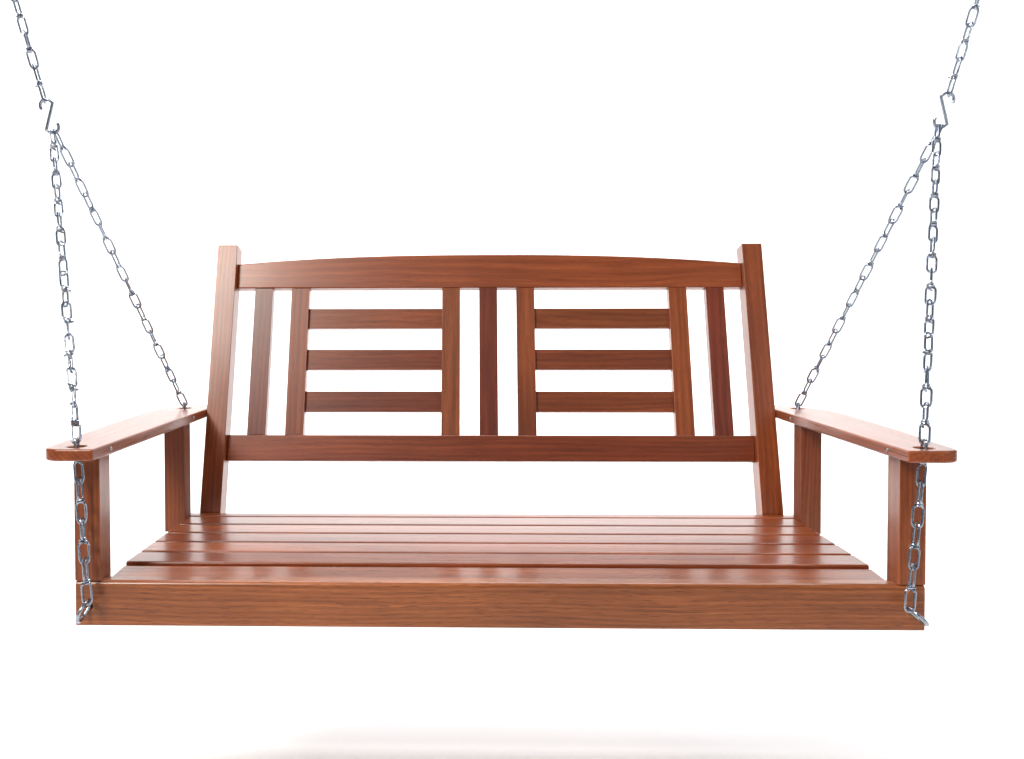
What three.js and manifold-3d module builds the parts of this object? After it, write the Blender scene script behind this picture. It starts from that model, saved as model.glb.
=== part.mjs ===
// Hanging porch swing: a slatted hardwood bench on two pairs of galvanised chains.
//
// Units are millimetres, +Z is up, +X runs along the bench to the sitter's left,
// and -Y is the side a person sits down from.  The origin is the middle of the
// line between the two overhead eyes, which is the axis the swing turns about.
//
// The bench is drawn in a frame of its own (front face of the front rail at y = 0,
// top of that rail at z = 0) and then hung below the two S-hooks, leaning back by
// the angle at which its centre of mass lies under them.

import * as THREE from 'three';
import { mergeVertices } from 'three/addons/utils/BufferGeometryUtils.js';
import Module from 'manifold-3d';

const wasm = await Module();
wasm.setup();

// ---------------------------------------------------------------- dimensions
const GAP = 0.15;                 // half of the clearance left between two butted pieces

// seat frame
const RAIL_HALF = 635;            // half length of the front and rear rails
const RAIL_H = 68.5;              // rail height
const RAIL_T = 28;                // rail thickness
const REAR_RAIL_Y = 432;          // front face of the rear rail
const REAR_RAIL_TOP = 2;
const BEARER_X = 595;             // outer face of the side bearers
const BEARER_T = 30;
const SLAT_N = 6;                 // seat slats
const SLAT_W = 59.8;
const SLAT_PITCH = 66.4;
const SLAT_T = 18;
const SLAT_Y0 = 29.6;             // front edge of the first slat
const SEAT_TOP = 3;
const FRONT_SLAT_DROP = 4;        // the first slat sits lower and leans forward
const FRONT_SLAT_LEAN = 3.5;      // degrees

// arm posts and armrests
const POST = 39;                  // square arm posts
const POST_IN = 596;              // inner face of the arm posts
const ARM_Z0 = 188.3;             // underside of the armrests
const ARM_T = 18;
const REAR_POST_Y = 398.5;
const TONGUE = 22;                // the posts lap this far down behind the rails
const ARM_IN = 586;               // inner edge of an armrest
const CHAIN_HOLE_R = 14;
const FRONT_HOLE = [622, -18];
const REAR_HOLE = [637, 530];

// backrest, in its raked plane
const RAKE = Math.atan(0.27);
const BACK_Y0 = 459;              // front face of the back posts at z = 0
const BACK_POST_OUT = 585;
const BACK_POST_W = 42;
const BACK_POST_D = 41.5;
const BACK_POST_TOP = 553.6;
const RAIL_LOW = [105, 156.8];    // heights of the lower back rail
const RAIL_TOP = [463.7, 516.2, 536.2]; // underside, ends and crown of the arched top rail
const BACK_SET = 17.1;            // the back rails stand this far behind the posts' faces
const BACK_RAIL_T = 24;
const BACK_SLAT_W = 38.5;
const BACK_SLAT_T = 21;
const BACK_SLAT_X = [-484, -404.7, -79.5, 0, 79.5, 404.7, 484];
const PANEL_T = 12;
const PANEL_Z = [[378.7, 420.9], [291.6, 333.8], [204.6, 246.8]];

// chains and fittings
const WIRE = 3.6;                 // chain wire
const LINK_HALF = 7.8;            // half of a loop's outer width
const COLLAR_R = 3.4;             // twisted neck between a link's two loops
const BEND_Z = 215;               // the lower chains bend here, just over the armrests
const EYE_WIRE = 5.5;
const EYE_R = 16.5;               // eye centreline radius
const EYE_X = { front: 613.5, rear: 622 }; // the eye bolts' axes
const EYE_Z = -39;
const EYE_OUT = 20.5;             // eye centre to rail face
const EYE_HOLE = 4.2;
const DEG = Math.PI / 180;
const EYE_LEAN = {                // how far each eye is turned about its shank, lower edge outward
  front_right: 22 * DEG, front_left: 46 * DEG, rear_right: -20 * DEG, rear_left: -20 * DEG,
};
const HOOK_WIRE = 5.6;
const HOOK_R = 11;
const HOOK_LEN = 60;              // between the two bearing points of an S-hook
const UPPER_CHAIN = 233;
const SPLAY = 13 * Math.PI / 180;
const JOIN = [777, 256, 725];     // bearing point of an S-hook, in the bench's frame
const LEAN_BACK = 7.3 * Math.PI / 180;

// overhead plates
const CEIL_WIRE = 8;
const CEIL_R = 14;
const PLATE = [84, 40, 6];
const PLATE_Z = 36;
const LAG_X = 28;

// ---------------------------------------------------------------- materials
const WOOD = { color: 0x8a4a2b, roughness: 0.5, metalness: 0 };
const WOOD_DARK = { color: 0x713a24, roughness: 0.5, metalness: 0 };
const WOOD_LIGHT = { color: 0xa35c33, roughness: 0.5, metalness: 0 };
const ZINC = { color: 0xb9c2cb, roughness: 0.32, metalness: 1 };
const STEEL = { color: 0x8f969c, roughness: 0.4, metalness: 1 };

// ---------------------------------------------------------------- helpers
const V = (x, y, z) => new THREE.Vector3(x, y, z);
const BASIS = {
  x: [V(0, 1, 0), V(0, 0, 1), V(1, 0, 0)],
  y: [V(0, 0, 1), V(1, 0, 0), V(0, 1, 0)],
  z: [V(1, 0, 0), V(0, 1, 0), V(0, 0, 1)],
};

// straight prism: a closed section in the first two axes, pushed along the third
function prism(points, from, length, axes, holes = []) {
  const shape = new THREE.Shape(points.map((p) => new THREE.Vector2(p[0], p[1])));
  for (const h of holes) shape.holes.push(new THREE.Path(h.map((p) => new THREE.Vector2(p[0], p[1]))));
  const g = new THREE.ExtrudeGeometry(shape, { depth: length, bevelEnabled: false, curveSegments: 4 });
  const m = new THREE.Matrix4().makeBasis(...axes);
  m.setPosition(axes[2].clone().multiplyScalar(from));
  g.applyMatrix4(m);
  return g;
}

const chamfered = (a0, a1, b0, b1, c) => [
  [a0 + c, b0], [a1 - c, b0], [a1, b0 + c], [a1, b1 - c],
  [a1 - c, b1], [a0 + c, b1], [a0, b1 - c], [a0, b0 + c],
];

// bar along X, Y or Z with eased long edges
function bar(axis, [x0, x1], [y0, y1], [z0, z1], c = 2) {
  if (axis === 'x') return prism(chamfered(y0, y1, z0, z1, c), x0, x1 - x0, BASIS.x);
  if (axis === 'y') return prism(chamfered(z0, z1, x0, x1, c), y0, y1 - y0, BASIS.y);
  return prism(chamfered(x0, x1, y0, y1, c), z0, z1 - z0, BASIS.z);
}

function solid(geometry) {
  const g = geometry.clone();
  g.deleteAttribute('normal');
  g.deleteAttribute('uv');
  const w = mergeVertices(g, 1e-4);
  const mesh = new wasm.Mesh({
    numProp: 3,
    vertProperties: Float32Array.from(w.attributes.position.array),
    triVerts: Uint32Array.from(w.index.array),
  });
  mesh.merge();
  return new wasm.Manifold(mesh);
}

function geometryOf(manifold) {
  const m = manifold.getMesh();
  const g = new THREE.BufferGeometry();
  const pos = new Float32Array(m.numVert * 3);
  for (let i = 0; i < m.numVert; i++) {
    for (let k = 0; k < 3; k++) pos[i * 3 + k] = m.vertProperties[i * m.numProp + k];
  }
  g.setAttribute('position', new THREE.BufferAttribute(pos, 3));
  g.setIndex(new THREE.BufferAttribute(Uint32Array.from(m.triVerts), 1));
  g.computeVertexNormals();
  return g;
}

const cut = (g, ...tools) => geometryOf(tools.reduce((a, t) => a.subtract(solid(t)), solid(g)));
const join = (g, ...more) => geometryOf(more.reduce((a, t) => a.add(solid(t)), solid(g)));

// round bar between two points
function rod(a, b, r, n = 10) {
  const d = new THREE.Vector3().subVectors(b, a);
  const g = new THREE.CylinderGeometry(r, r, d.length(), n);
  g.applyQuaternion(new THREE.Quaternion().setFromUnitVectors(V(0, 1, 0), d.clone().normalize()));
  const c = new THREE.Vector3().addVectors(a, b).multiplyScalar(0.5);
  g.translate(c.x, c.y, c.z);
  return g;
}

// closed ring of round wire, lying in the plane of e1 and e2
function ring(centre, e1, e2, radius, wire, around = 14, section = 6) {
  const g = new THREE.TorusGeometry(radius, wire / 2, section, around);
  const m = new THREE.Matrix4().makeBasis(e1, e2, new THREE.Vector3().crossVectors(e1, e2));
  m.setPosition(centre);
  g.applyMatrix4(m);
  return g;
}

// one long link between s0 and s1 (its inner ends) on the line from a along d; n is its flat side
function link(a, d, n, s0, s1) {
  const side = new THREE.Vector3().crossVectors(n, d).normalize();
  const nn = new THREE.Vector3().crossVectors(d, side).normalize();
  const ri = LINK_HALF - WIRE;
  const loop = (half, lo, hi) => {
    const q = half * 0.42;
    return [[-half, lo + half * 0.58], [-q, lo], [q, lo], [half, lo + half * 0.58],
      [half, hi - half * 0.58], [q, hi], [-q, hi], [-half, hi - half * 0.58]];
  };
  const outer = loop(LINK_HALF, s0 - WIRE, s1 + WIRE);
  const inner = loop(ri, s0, s1);
  const axes = [side, d, nn];
  if (new THREE.Vector3().crossVectors(side, d).dot(nn) < 0) axes[2] = nn.negate();
  const g = prism(outer, -WIRE / 2, WIRE, axes, [inner]);
  g.translate(a.x, a.y, a.z);
  return g;
}

// a straight run of double-loop links.  Each link is two loops joined by a twisted neck, and
// `turns` has two letters for each: E where the loop's flat side faces along e, F where it is square to that
function run(a, b, turns, e, startLap, endLap) {
  const d = new THREE.Vector3().subVectors(b, a);
  const length = d.length();
  d.normalize();
  const flat = { E: e.clone().addScaledVector(d, -e.dot(d)).normalize() };
  flat.F = new THREE.Vector3().crossVectors(d, flat.E);
  const p = length / turns.length;
  const out = [];
  turns.forEach((turn, i) => {
    const s0 = i === 0 ? startLap : i * p + 0.6;
    const s1 = i === turns.length - 1 ? length + endLap : (i + 1) * p - 0.6;
    const mid = (i + 0.5) * p;
    out.push(link(a, d, flat[turn[0]], s0, mid - WIRE / 2));
    out.push(link(a, d, flat[turn[1]], mid + WIRE / 2, s1));
    out.push(rod(a.clone().addScaledVector(d, mid - 3.8), a.clone().addScaledVector(d, mid + 3.8), COLLAR_R, 8));
  });
  return out;
}

const polygon = (cx, cy, r, n, turn = 0) => Array.from({ length: n }, (_, i) => {
  const t = turn + (i / n) * Math.PI * 2;
  return [cx + r * Math.cos(t), cy + r * Math.sin(t)];
});

function piece(group, name, geometry, look) {
  const mesh = new THREE.Mesh(geometry, new THREE.MeshStandardMaterial(look));
  mesh.name = name;
  group.add(mesh);
}

// ---------------------------------------------------------------- bench, in its own frame
const swing = new THREE.Group();
const bench = new THREE.Group();
swing.add(bench);

// seat frame
const eyeHole = (x, y0, y1) => rod(V(x, y0, EYE_Z), V(x, y1, EYE_Z), EYE_HOLE, 10);
piece(bench, 'front_rail', cut(
  bar('x', [-RAIL_HALF, RAIL_HALF], [0, RAIL_T], [-RAIL_H, 0], 4),
  eyeHole(-EYE_X.front, -5, RAIL_T + 5), eyeHole(EYE_X.front, -5, RAIL_T + 5)), WOOD);
piece(bench, 'rear_rail', cut(
  bar('x', [-RAIL_HALF, RAIL_HALF], [REAR_RAIL_Y, REAR_RAIL_Y + RAIL_T], [-RAIL_H, REAR_RAIL_TOP], 3),
  eyeHole(-EYE_X.rear, REAR_RAIL_Y - 5, REAR_RAIL_Y + RAIL_T + 5),
  eyeHole(EYE_X.rear, REAR_RAIL_Y - 5, REAR_RAIL_Y + RAIL_T + 5)), WOOD);

const bearerTop = SEAT_TOP - SLAT_T - 2 * GAP;
for (const [name, x0] of [
  ['seat_bearer_right', -BEARER_X], ['seat_bearer_centre', -BEARER_T / 2], ['seat_bearer_left', BEARER_X - BEARER_T],
]) {
  // the nose of each bearer is cut down where the first slat leans over the front rail
  const drop = FRONT_SLAT_DROP + SLAT_W * Math.sin(FRONT_SLAT_LEAN * Math.PI / 180) + 0.8;
  const y0 = RAIL_T + 2 * GAP, y1 = REAR_RAIL_Y - 2 * GAP;
  piece(bench, name, prism([
    [y0, -RAIL_H], [y1, -RAIL_H], [y1, bearerTop], [SLAT_Y0 + SLAT_W + 4.5, bearerTop],
    [SLAT_Y0 + SLAT_W + 1, bearerTop - FRONT_SLAT_DROP - 0.4], [y0, bearerTop - drop],
  ], x0, BEARER_T, BASIS.x), WOOD_DARK);
}
for (let i = 0; i < SLAT_N; i++) {
  const y = SLAT_Y0 + i * SLAT_PITCH;
  const x = BEARER_X - GAP;
  if (i > 0) {
    piece(bench, `seat_slat_${i + 1}`,
      bar('x', [-x, x], [y, y + SLAT_W], [SEAT_TOP - SLAT_T, SEAT_TOP], 3), WOOD_LIGHT);
    continue;
  }
  const g = bar('x', [-x, x], [-SLAT_W, 0], [-SLAT_T, 0], 4);
  g.rotateX(FRONT_SLAT_LEAN * Math.PI / 180);
  g.translate(0, y + SLAT_W, SEAT_TOP - FRONT_SLAT_DROP);
  piece(bench, 'seat_slat_1', g, WOOD_LIGHT);
}

// arm posts: each stands on a rail and laps down behind it
for (const [side, hand] of [[-1, 'right'], [1, 'left']]) {
  const xs = side < 0 ? [-POST_IN - POST, -POST_IN] : [POST_IN, POST_IN + POST];
  const top = ARM_Z0 - 2 * GAP;
  piece(bench, `arm_post_front_${hand}`, prism([
    [0.2, 2 * GAP], [RAIL_T + 2 * GAP, 2 * GAP], [RAIL_T + 2 * GAP, -TONGUE], [POST, -TONGUE],
    [POST, top], [0.2, top],
  ], xs[0], POST, BASIS.x), WOOD);
  const r0 = REAR_POST_Y, r1 = REAR_POST_Y + POST;
  piece(bench, `arm_post_rear_${hand}`, prism([
    [r0, -TONGUE], [REAR_RAIL_Y - 2 * GAP, -TONGUE], [REAR_RAIL_Y - 2 * GAP, REAR_RAIL_TOP + 2 * GAP],
    [r1, REAR_RAIL_TOP + 2 * GAP], [r1, top], [r0, top],
  ], xs[0], POST, BASIS.x), WOOD);

  // armrest: straight inner edge, wide in the middle, rounded at both outer corners
  const outline = [
    [ARM_IN, -41], [ARM_IN + 4, -46], [643, -47], [658, -46], [664, -39], [665, -25],
    [669, 60], [679, 148], [685, 255], [690, 370], [691, 440], [685, 495], [668, 545],
    [641, 582], [615, 606], [600, 613], [ARM_IN, 614],
  ].map(([x, y]) => [side * x, y]);
  if (side < 0) outline.reverse();
  const holes = [polygon(side * FRONT_HOLE[0], FRONT_HOLE[1], CHAIN_HOLE_R, 14),
    polygon(side * REAR_HOLE[0], REAR_HOLE[1], CHAIN_HOLE_R, 14)];
  const screwHoles = [];
  for (const [y, place] of [[20, 'front'], [431, 'rear']]) {
    const z = ARM_Z0 + ARM_T / 2;
    screwHoles.push(rod(V(side * (ARM_IN - 2), y, z), V(side * (ARM_IN + 3), y, z), 4, 8));
    screwHoles.push(rod(V(side * (ARM_IN + 1), y, z), V(side * (ARM_IN + 30), y, z), 2.4, 8));
    piece(bench, `arm_screw_${place}_${hand}`, join(
      rod(V(side * (ARM_IN - 1.2), y, z), V(side * (ARM_IN + 2.5), y, z), 3.5, 8),
      rod(V(side * (ARM_IN + 2), y, z), V(side * (ARM_IN + 29), y, z), 2, 8)), STEEL);
  }
  piece(bench, `armrest_${hand}`, cut(prism(outline, ARM_Z0, ARM_T, BASIS.z, holes), ...screwHoles), WOOD_LIGHT);
}

// backrest
const up = V(0, Math.sin(RAKE), Math.cos(RAKE));     // up the rake
const away = V(0, Math.cos(RAKE), -Math.sin(RAKE));  // square to it, to the rear
const S = (z) => z / Math.cos(RAKE);
// a bar or board of the back: its outline in X and up, and how far n0 to n1 it lies behind the posts' faces
function backPlate(points, n0, n1) {
  const g = new THREE.ExtrudeGeometry(
    new THREE.Shape(points.map((p) => new THREE.Vector2(p[0], p[1]))),
    { depth: n1 - n0, bevelEnabled: false });
  // X x up = -away, so the plate is pushed towards the sitter from its rear face
  const m = new THREE.Matrix4().makeBasis(V(1, 0, 0), up, away.clone().negate());
  m.setPosition(V(0, BACK_Y0, 0).addScaledVector(away, n1));
  g.applyMatrix4(m);
  return g;
}
const postIn = BACK_POST_OUT - BACK_POST_W;
for (const [side, hand] of [[-1, 'right'], [1, 'left']]) {
  const flat = REAR_RAIL_Y + RAIL_T + 2 * GAP;       // lap face against the rear rail
  const t = Math.tan(RAKE);
  const thick = BACK_POST_D / Math.cos(RAKE);
  const zLap = (flat - BACK_Y0) / t;
  const fy = BACK_Y0 + t * BACK_POST_TOP;
  const ry = fy + BACK_POST_D * Math.cos(RAKE), rz = BACK_POST_TOP - BACK_POST_D * Math.sin(RAKE);
  piece(bench, `back_post_${hand}`, prism([
    [flat, -RAIL_H], [BACK_Y0 - RAIL_H * t + thick, -RAIL_H], [ry, rz - 3], [ry - 1.4, rz + 0.6],
    [fy + 2.4, BACK_POST_TOP - 0.5], [fy - 0.5, BACK_POST_TOP - 3], [flat, zLap],
  ], side < 0 ? -BACK_POST_OUT : postIn, BACK_POST_W, BASIS.x), WOOD);
}
const crown = [];
for (let i = 0; i <= 12; i++) {
  const u = 1 - (2 * i) / 12;
  crown.push([u * (postIn - 2 * GAP), S(RAIL_TOP[1] + (RAIL_TOP[2] - RAIL_TOP[1]) * (1 - Math.abs(u) ** 2.4))]);
}
piece(bench, 'back_top_rail', backPlate([
  [-(postIn - 2 * GAP), S(RAIL_TOP[0])], [postIn - 2 * GAP, S(RAIL_TOP[0])], ...crown,
], BACK_SET, BACK_SET + BACK_RAIL_T), WOOD);
const rect = (x0, x1, s0, s1) => [[x0, s0], [x1, s0], [x1, s1], [x0, s1]];
piece(bench, 'back_bottom_rail', backPlate(
  rect(-(postIn - 2 * GAP), postIn - 2 * GAP, S(RAIL_LOW[0]), S(RAIL_LOW[1])), BACK_SET, BACK_SET + BACK_RAIL_T), WOOD);
BACK_SLAT_X.forEach((x, i) => piece(bench, `back_slat_${i + 1}`, backPlate(
  rect(x - BACK_SLAT_W / 2, x + BACK_SLAT_W / 2, S(RAIL_LOW[1]) + 2 * GAP, S(RAIL_TOP[0]) - 2 * GAP),
  BACK_SET + 1.5, BACK_SET + 1.5 + BACK_SLAT_T), WOOD_LIGHT));
for (const [i0, i1, hand] of [[1, 2, 'right'], [4, 5, 'left']]) {
  PANEL_Z.forEach(([z0, z1], k) => piece(bench, `panel_slat_${hand}_${k + 1}`, backPlate(
    rect(BACK_SLAT_X[i0] + BACK_SLAT_W / 2 + 2 * GAP, BACK_SLAT_X[i1] - BACK_SLAT_W / 2 - 2 * GAP, S(z0), S(z1)),
    BACK_SET + 9, BACK_SET + 9 + PANEL_T), WOOD_LIGHT));
}

// eye bolts with their nuts, and the four lower chains
const tilt = new THREE.Matrix4().makeRotationX(-LEAN_BACK);
const untilt = tilt.clone().invert();
for (const [side, hand] of [[-1, 'right'], [1, 'left']]) {
  const bearing = {};
  for (const [place, face, dir, back] of [
    ['front', 0, -1, RAIL_T], ['rear', REAR_RAIL_Y + RAIL_T, 1, REAR_RAIL_Y],
  ]) {
    const lean = EYE_LEAN[`${place}_${hand}`];
    const e = V(side * Math.sin(lean), 0, -Math.cos(lean));
    const c = V(side * EYE_X[place], 0, EYE_Z);
    const centre = V(c.x, face + dir * EYE_OUT, c.z);
    bearing[place] = centre.clone().addScaledVector(e, -EYE_R);
    const shankEnd = back - dir * 11;
    const e2 = V(0, 1, 0);
    piece(bench, `eye_bolt_${place}_${hand}`, join(
      ring(centre, e, e2, EYE_R, EYE_WIRE, 14, 8),
      rod(V(c.x, face + dir * (EYE_OUT - EYE_R), c.z), V(c.x, shankEnd, c.z), EYE_WIRE / 2, 8)), ZINC);
    const nut = prism(polygon(c.z, c.x, 7, 6), Math.min(back - dir * 0.3, back - dir * 5.3), 5, BASIS.y,
      [polygon(c.z, c.x, EYE_WIRE / 2 + 0.5, 8)]);
    piece(bench, `eye_nut_${place}_${hand}`, nut, ZINC);
  }
  const w = V(Math.cos(SPLAY), 0, -side * Math.sin(SPLAY)).applyMatrix4(untilt);
  const J = V(side * JOIN[0], JOIN[1], JOIN[2]);
  const runs = {
    front: [FRONT_HOLE, -2.6],
    rear: [REAR_HOLE, 2.6],
  };
  for (const place of ['front', 'rear']) {
    const [hole, off] = runs[place];
    const top = J.clone().addScaledVector(w, off);
    const bend = V(side * hole[0], hole[1], BEND_Z);
    const upper = run(top, bend, Array(10).fill('EF'), w, -6.4, -0.4);
    const lower = run(bend, bearing[place], Array(4).fill('EF'), V(1, 0, 0), 0.4, EYE_WIRE / 2 + 1.0);
    piece(bench, `chain_${place}_${hand}`, join(...upper, ...lower), ZINC);
  }
}

// ---------------------------------------------------------------- the part that hangs overhead
const drop = HOOK_LEN + UPPER_CHAIN;
const PX = JOIN[0] + drop * Math.sin(SPLAY);         // overhead eye, from the middle
bench.rotation.x = -LEAN_BACK;
const joinMid = V(0, JOIN[1], JOIN[2]).applyMatrix4(tilt);
bench.position.set(0, -joinMid.y, -drop * Math.cos(SPLAY) - joinMid.z);

for (const [side, hand] of [[-1, 'right'], [1, 'left']]) {
  const u = V(side * Math.sin(SPLAY), 0, Math.cos(SPLAY));
  const w = V(Math.cos(SPLAY), 0, -side * Math.sin(SPLAY));
  const P = V(side * PX, 0, 0);
  const J = P.clone().addScaledVector(u, -drop);
  const T = J.clone().addScaledVector(u, HOOK_LEN);

  // S-hook: the lower bend carries the two bench chains, the upper one the hanging chain
  const at = (a, b) => J.clone().addScaledVector(w, side * a).addScaledVector(u, b);
  const pts = [];
  for (let k = 0; k <= 8; k++) {
    const t = (165 + (195 * k) / 8) * Math.PI / 180;
    pts.push(at(HOOK_R * Math.cos(t), HOOK_R + HOOK_R * Math.sin(t)));
  }
  for (let k = 0; k <= 8; k++) {
    const t = (180 - (195 * k) / 8) * Math.PI / 180;
    pts.push(at(HOOK_R * Math.cos(t), HOOK_LEN - HOOK_R + HOOK_R * Math.sin(t)));
  }
  const curve = new THREE.CatmullRomCurve3(pts, false, 'centripetal');
  const wireShape = new THREE.Shape(polygon(0, 0, HOOK_WIRE / 2, 8).map((p) => new THREE.Vector2(...p)));
  piece(swing, `s_hook_${hand}`,
    new THREE.ExtrudeGeometry(wireShape, { extrudePath: curve, steps: 26, bevelEnabled: false }), ZINC);

  piece(swing, `upper_chain_${hand}`, join(...run(P, T, ['EF', 'EF', 'EF', 'EE'], w, -7.5, 5.9)), ZINC);

  // overhead plate with its welded eye, held up by two lag screws
  const eye = ring(V(P.x, 0, CEIL_R), V(1, 0, 0), V(0, 0, 1), CEIL_R, CEIL_WIRE, 16, 8);
  const [pw, pd, pt] = PLATE;
  const hole = (x) => polygon(x, 0, 3.6, 8);
  const plate = prism(chamfered(P.x - pw / 2, P.x + pw / 2, -pd / 2, pd / 2, 5), PLATE_Z, pt, BASIS.z,
    [hole(P.x - LAG_X), hole(P.x + LAG_X)]);
  piece(swing, `ceiling_plate_${hand}`, join(plate, eye,
    rod(V(P.x, 0, 2 * CEIL_R - 1), V(P.x, 0, PLATE_Z + 2), 6, 8)), STEEL);
  for (const [k, x] of [[1, P.x - LAG_X], [2, P.x + LAG_X]]) {
    piece(swing, `lag_screw_${hand}_${k}`, join(
      prism(polygon(x, 0, 6.5, 6), PLATE_Z - 5.3, 5, BASIS.z),
      rod(V(x, 0, PLATE_Z - 1), V(x, 0, PLATE_Z + pt + 45), 3, 8)), STEEL);
  }
}

export default swing;
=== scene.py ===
import math

import bmesh
import bpy
from mathutils import Matrix, Vector


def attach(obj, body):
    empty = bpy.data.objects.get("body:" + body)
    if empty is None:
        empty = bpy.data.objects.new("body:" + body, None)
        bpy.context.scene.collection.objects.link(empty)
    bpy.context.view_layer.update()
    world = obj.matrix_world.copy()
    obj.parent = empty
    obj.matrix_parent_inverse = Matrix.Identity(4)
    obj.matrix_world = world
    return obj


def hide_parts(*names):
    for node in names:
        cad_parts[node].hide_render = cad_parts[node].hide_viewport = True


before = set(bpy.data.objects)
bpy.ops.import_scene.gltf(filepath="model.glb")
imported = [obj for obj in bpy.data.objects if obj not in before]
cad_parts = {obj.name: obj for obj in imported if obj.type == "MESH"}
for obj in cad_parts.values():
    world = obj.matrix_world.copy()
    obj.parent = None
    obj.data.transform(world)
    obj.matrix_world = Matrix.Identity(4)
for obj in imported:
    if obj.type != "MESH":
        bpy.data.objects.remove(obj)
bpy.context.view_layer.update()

# ------------------------------------------------------------------ the bench's own frame
# millimetres; y = 0 is the front face of the front rail and z = 0 its top edge
LEAN = math.radians(7.3)
SPLAY = math.radians(13)
JOIN = Vector((777, 256, 725))
HOOK_LEN, UPPER_CHAIN = 60, 233
DROP = HOOK_LEN + UPPER_CHAIN
PX = JOIN.x + DROP * math.sin(SPLAY)
CS, SN = math.cos(LEAN), math.sin(LEAN)


def turn(v):
    return Vector((v[0], v[1] * CS + v[2] * SN, -v[1] * SN + v[2] * CS))


def unturn(v):
    return Vector((v[0], v[1] * CS - v[2] * SN, v[1] * SN + v[2] * CS))


def W(p):
    """bench frame in mm -> row frame in mm"""
    v = turn((p[0], p[1] - JOIN.y, p[2] - JOIN.z))
    v.z -= DROP * math.cos(SPLAY)
    return v


def same(p):
    return Vector(p)


# ------------------------------------------------------------------ mesh helpers
def make(name, verts, faces, to=W, smooth_angle=32, weighted=True, mat=None):
    me = bpy.data.meshes.new(name)
    me.from_pydata([to(v) * 0.001 for v in verts], [], faces)
    me.update()
    bm = bmesh.new()
    bm.from_mesh(me)
    bmesh.ops.recalc_face_normals(bm, faces=bm.faces)
    bm.to_mesh(me)
    bm.free()
    finish_mesh(me, smooth_angle)
    o = bpy.data.objects.new(name, me)
    bpy.context.scene.collection.objects.link(o)
    if weighted:
        m = o.modifiers.new("wn", "WEIGHTED_NORMAL")
        m.keep_sharp = True
        m.weight = 60
    if mat:
        me.materials.append(mat)
    return o


def finish_mesh(me, angle):
    for p in me.polygons:
        p.use_smooth = True
    me.set_sharp_from_angle(angle=math.radians(angle))


def rounded(points, radii, seg=6):
    """closed polygon with each corner turned into an arc"""
    n = len(points)
    out = []
    for i, p in enumerate(points):
        r = radii[i] if hasattr(radii, "__len__") else radii
        p = Vector(p)
        a = (Vector(points[i - 1]) - p)
        b = (Vector(points[(i + 1) % n]) - p)
        la, lb = a.length, b.length
        a.normalize(), b.normalize()
        ang = math.acos(max(-1, min(1, a.dot(b))))
        if r <= 0 or ang > math.radians(176):
            out.append(tuple(p))
            continue
        t = min(r / math.tan(ang / 2), la * 0.45, lb * 0.45)
        r2 = t * math.tan(ang / 2)
        c = p + (a + b).normalized() * (r2 / math.sin(ang / 2))
        p0, p1 = p + a * t - c, p + b * t - c
        sweep_ang = math.pi - ang
        k = max(1, round(seg * sweep_ang / (math.pi / 2)))
        cross = p0.x * p1.y - p0.y * p1.x
        sgn = 1 if cross > 0 else -1
        for j in range(k + 1):
            th = sgn * sweep_ang * j / k
            ct, st = math.cos(th), math.sin(th)
            out.append((c.x + p0.x * ct - p0.y * st, c.y + p0.x * st + p0.y * ct))
    return out


def prism(name, outline, at, d0, d1, rim=1.2, rim_seg=3, cutters=(), to=W, mat=None):
    """outline in (a, b); at(a, b, d) gives the bench-frame point; the end rims are eased by `rim`"""
    bm = bmesh.new()
    lo = [bm.verts.new(to(at(a, b, d0)) * 0.001) for a, b in outline]
    hi = [bm.verts.new(to(at(a, b, d1)) * 0.001) for a, b in outline]
    n = len(outline)
    f0 = bm.faces.new(lo)
    f1 = bm.faces.new(hi)
    for i in range(n):
        bm.faces.new((lo[i], lo[(i + 1) % n], hi[(i + 1) % n], hi[i]))
    bmesh.ops.recalc_face_normals(bm, faces=bm.faces)
    if rim > 0:
        edges = list(set(f0.edges) | set(f1.edges))
        bmesh.ops.bevel(bm, geom=edges, offset=rim * 0.001, segments=rim_seg,
                        profile=0.5, affect="EDGES", clamp_overlap=True)
    bmesh.ops.recalc_face_normals(bm, faces=bm.faces)
    me = bpy.data.meshes.new(name)
    bm.to_mesh(me)
    bm.free()
    o = bpy.data.objects.new(name, me)
    bpy.context.scene.collection.objects.link(o)
    if cutters:
        cut(o, cutters)
    finish_mesh(o.data, 30)
    m = o.modifiers.new("wn", "WEIGHTED_NORMAL")
    m.keep_sharp = True
    m.weight = 60
    if mat:
        o.data.materials.append(mat)
    return o


def cut(o, cutters):
    mods = []
    for c in cutters:
        m = o.modifiers.new("cut", "BOOLEAN")
        m.operation = "DIFFERENCE"
        m.solver = "EXACT"
        m.object = c
        mods.append(m)
    bpy.context.view_layer.update()
    dg = bpy.context.evaluated_depsgraph_get()
    me = bpy.data.meshes.new_from_object(o.evaluated_get(dg))
    o.modifiers.clear()
    old = o.data
    o.data = me
    me.name = o.name
    bpy.data.meshes.remove(old)
    for c in cutters:
        bpy.data.objects.remove(c)


def lathe(name, a, b, profile, n=24, to=W):
    """closed solid of revolution about a -> b; profile is (distance along, radius), ends on the axis"""
    a, b = Vector(a), Vector(b)
    d = (b - a).normalized()
    e = d.orthogonal().normalized()
    f = d.cross(e)
    verts, faces, rows = [], [], []
    for s, r in profile:
        if r <= 1e-6:
            rows.append([len(verts)])
            verts.append(a + d * s)
        else:
            rows.append(list(range(len(verts), len(verts) + n)))
            for i in range(n):
                t = 2 * math.pi * i / n
                verts.append(a + d * s + (e * math.cos(t) + f * math.sin(t)) * r)
    for r0, r1 in zip(rows, rows[1:]):
        for i in range(n):
            j = (i + 1) % n
            if len(r0) == 1:
                faces.append((r0[0], r1[i], r1[j]))
            elif len(r1) == 1:
                faces.append((r0[i], r0[j], r1[0]))
            else:
                faces.append((r0[i], r0[j], r1[j], r1[i]))
    return verts, faces


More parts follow.
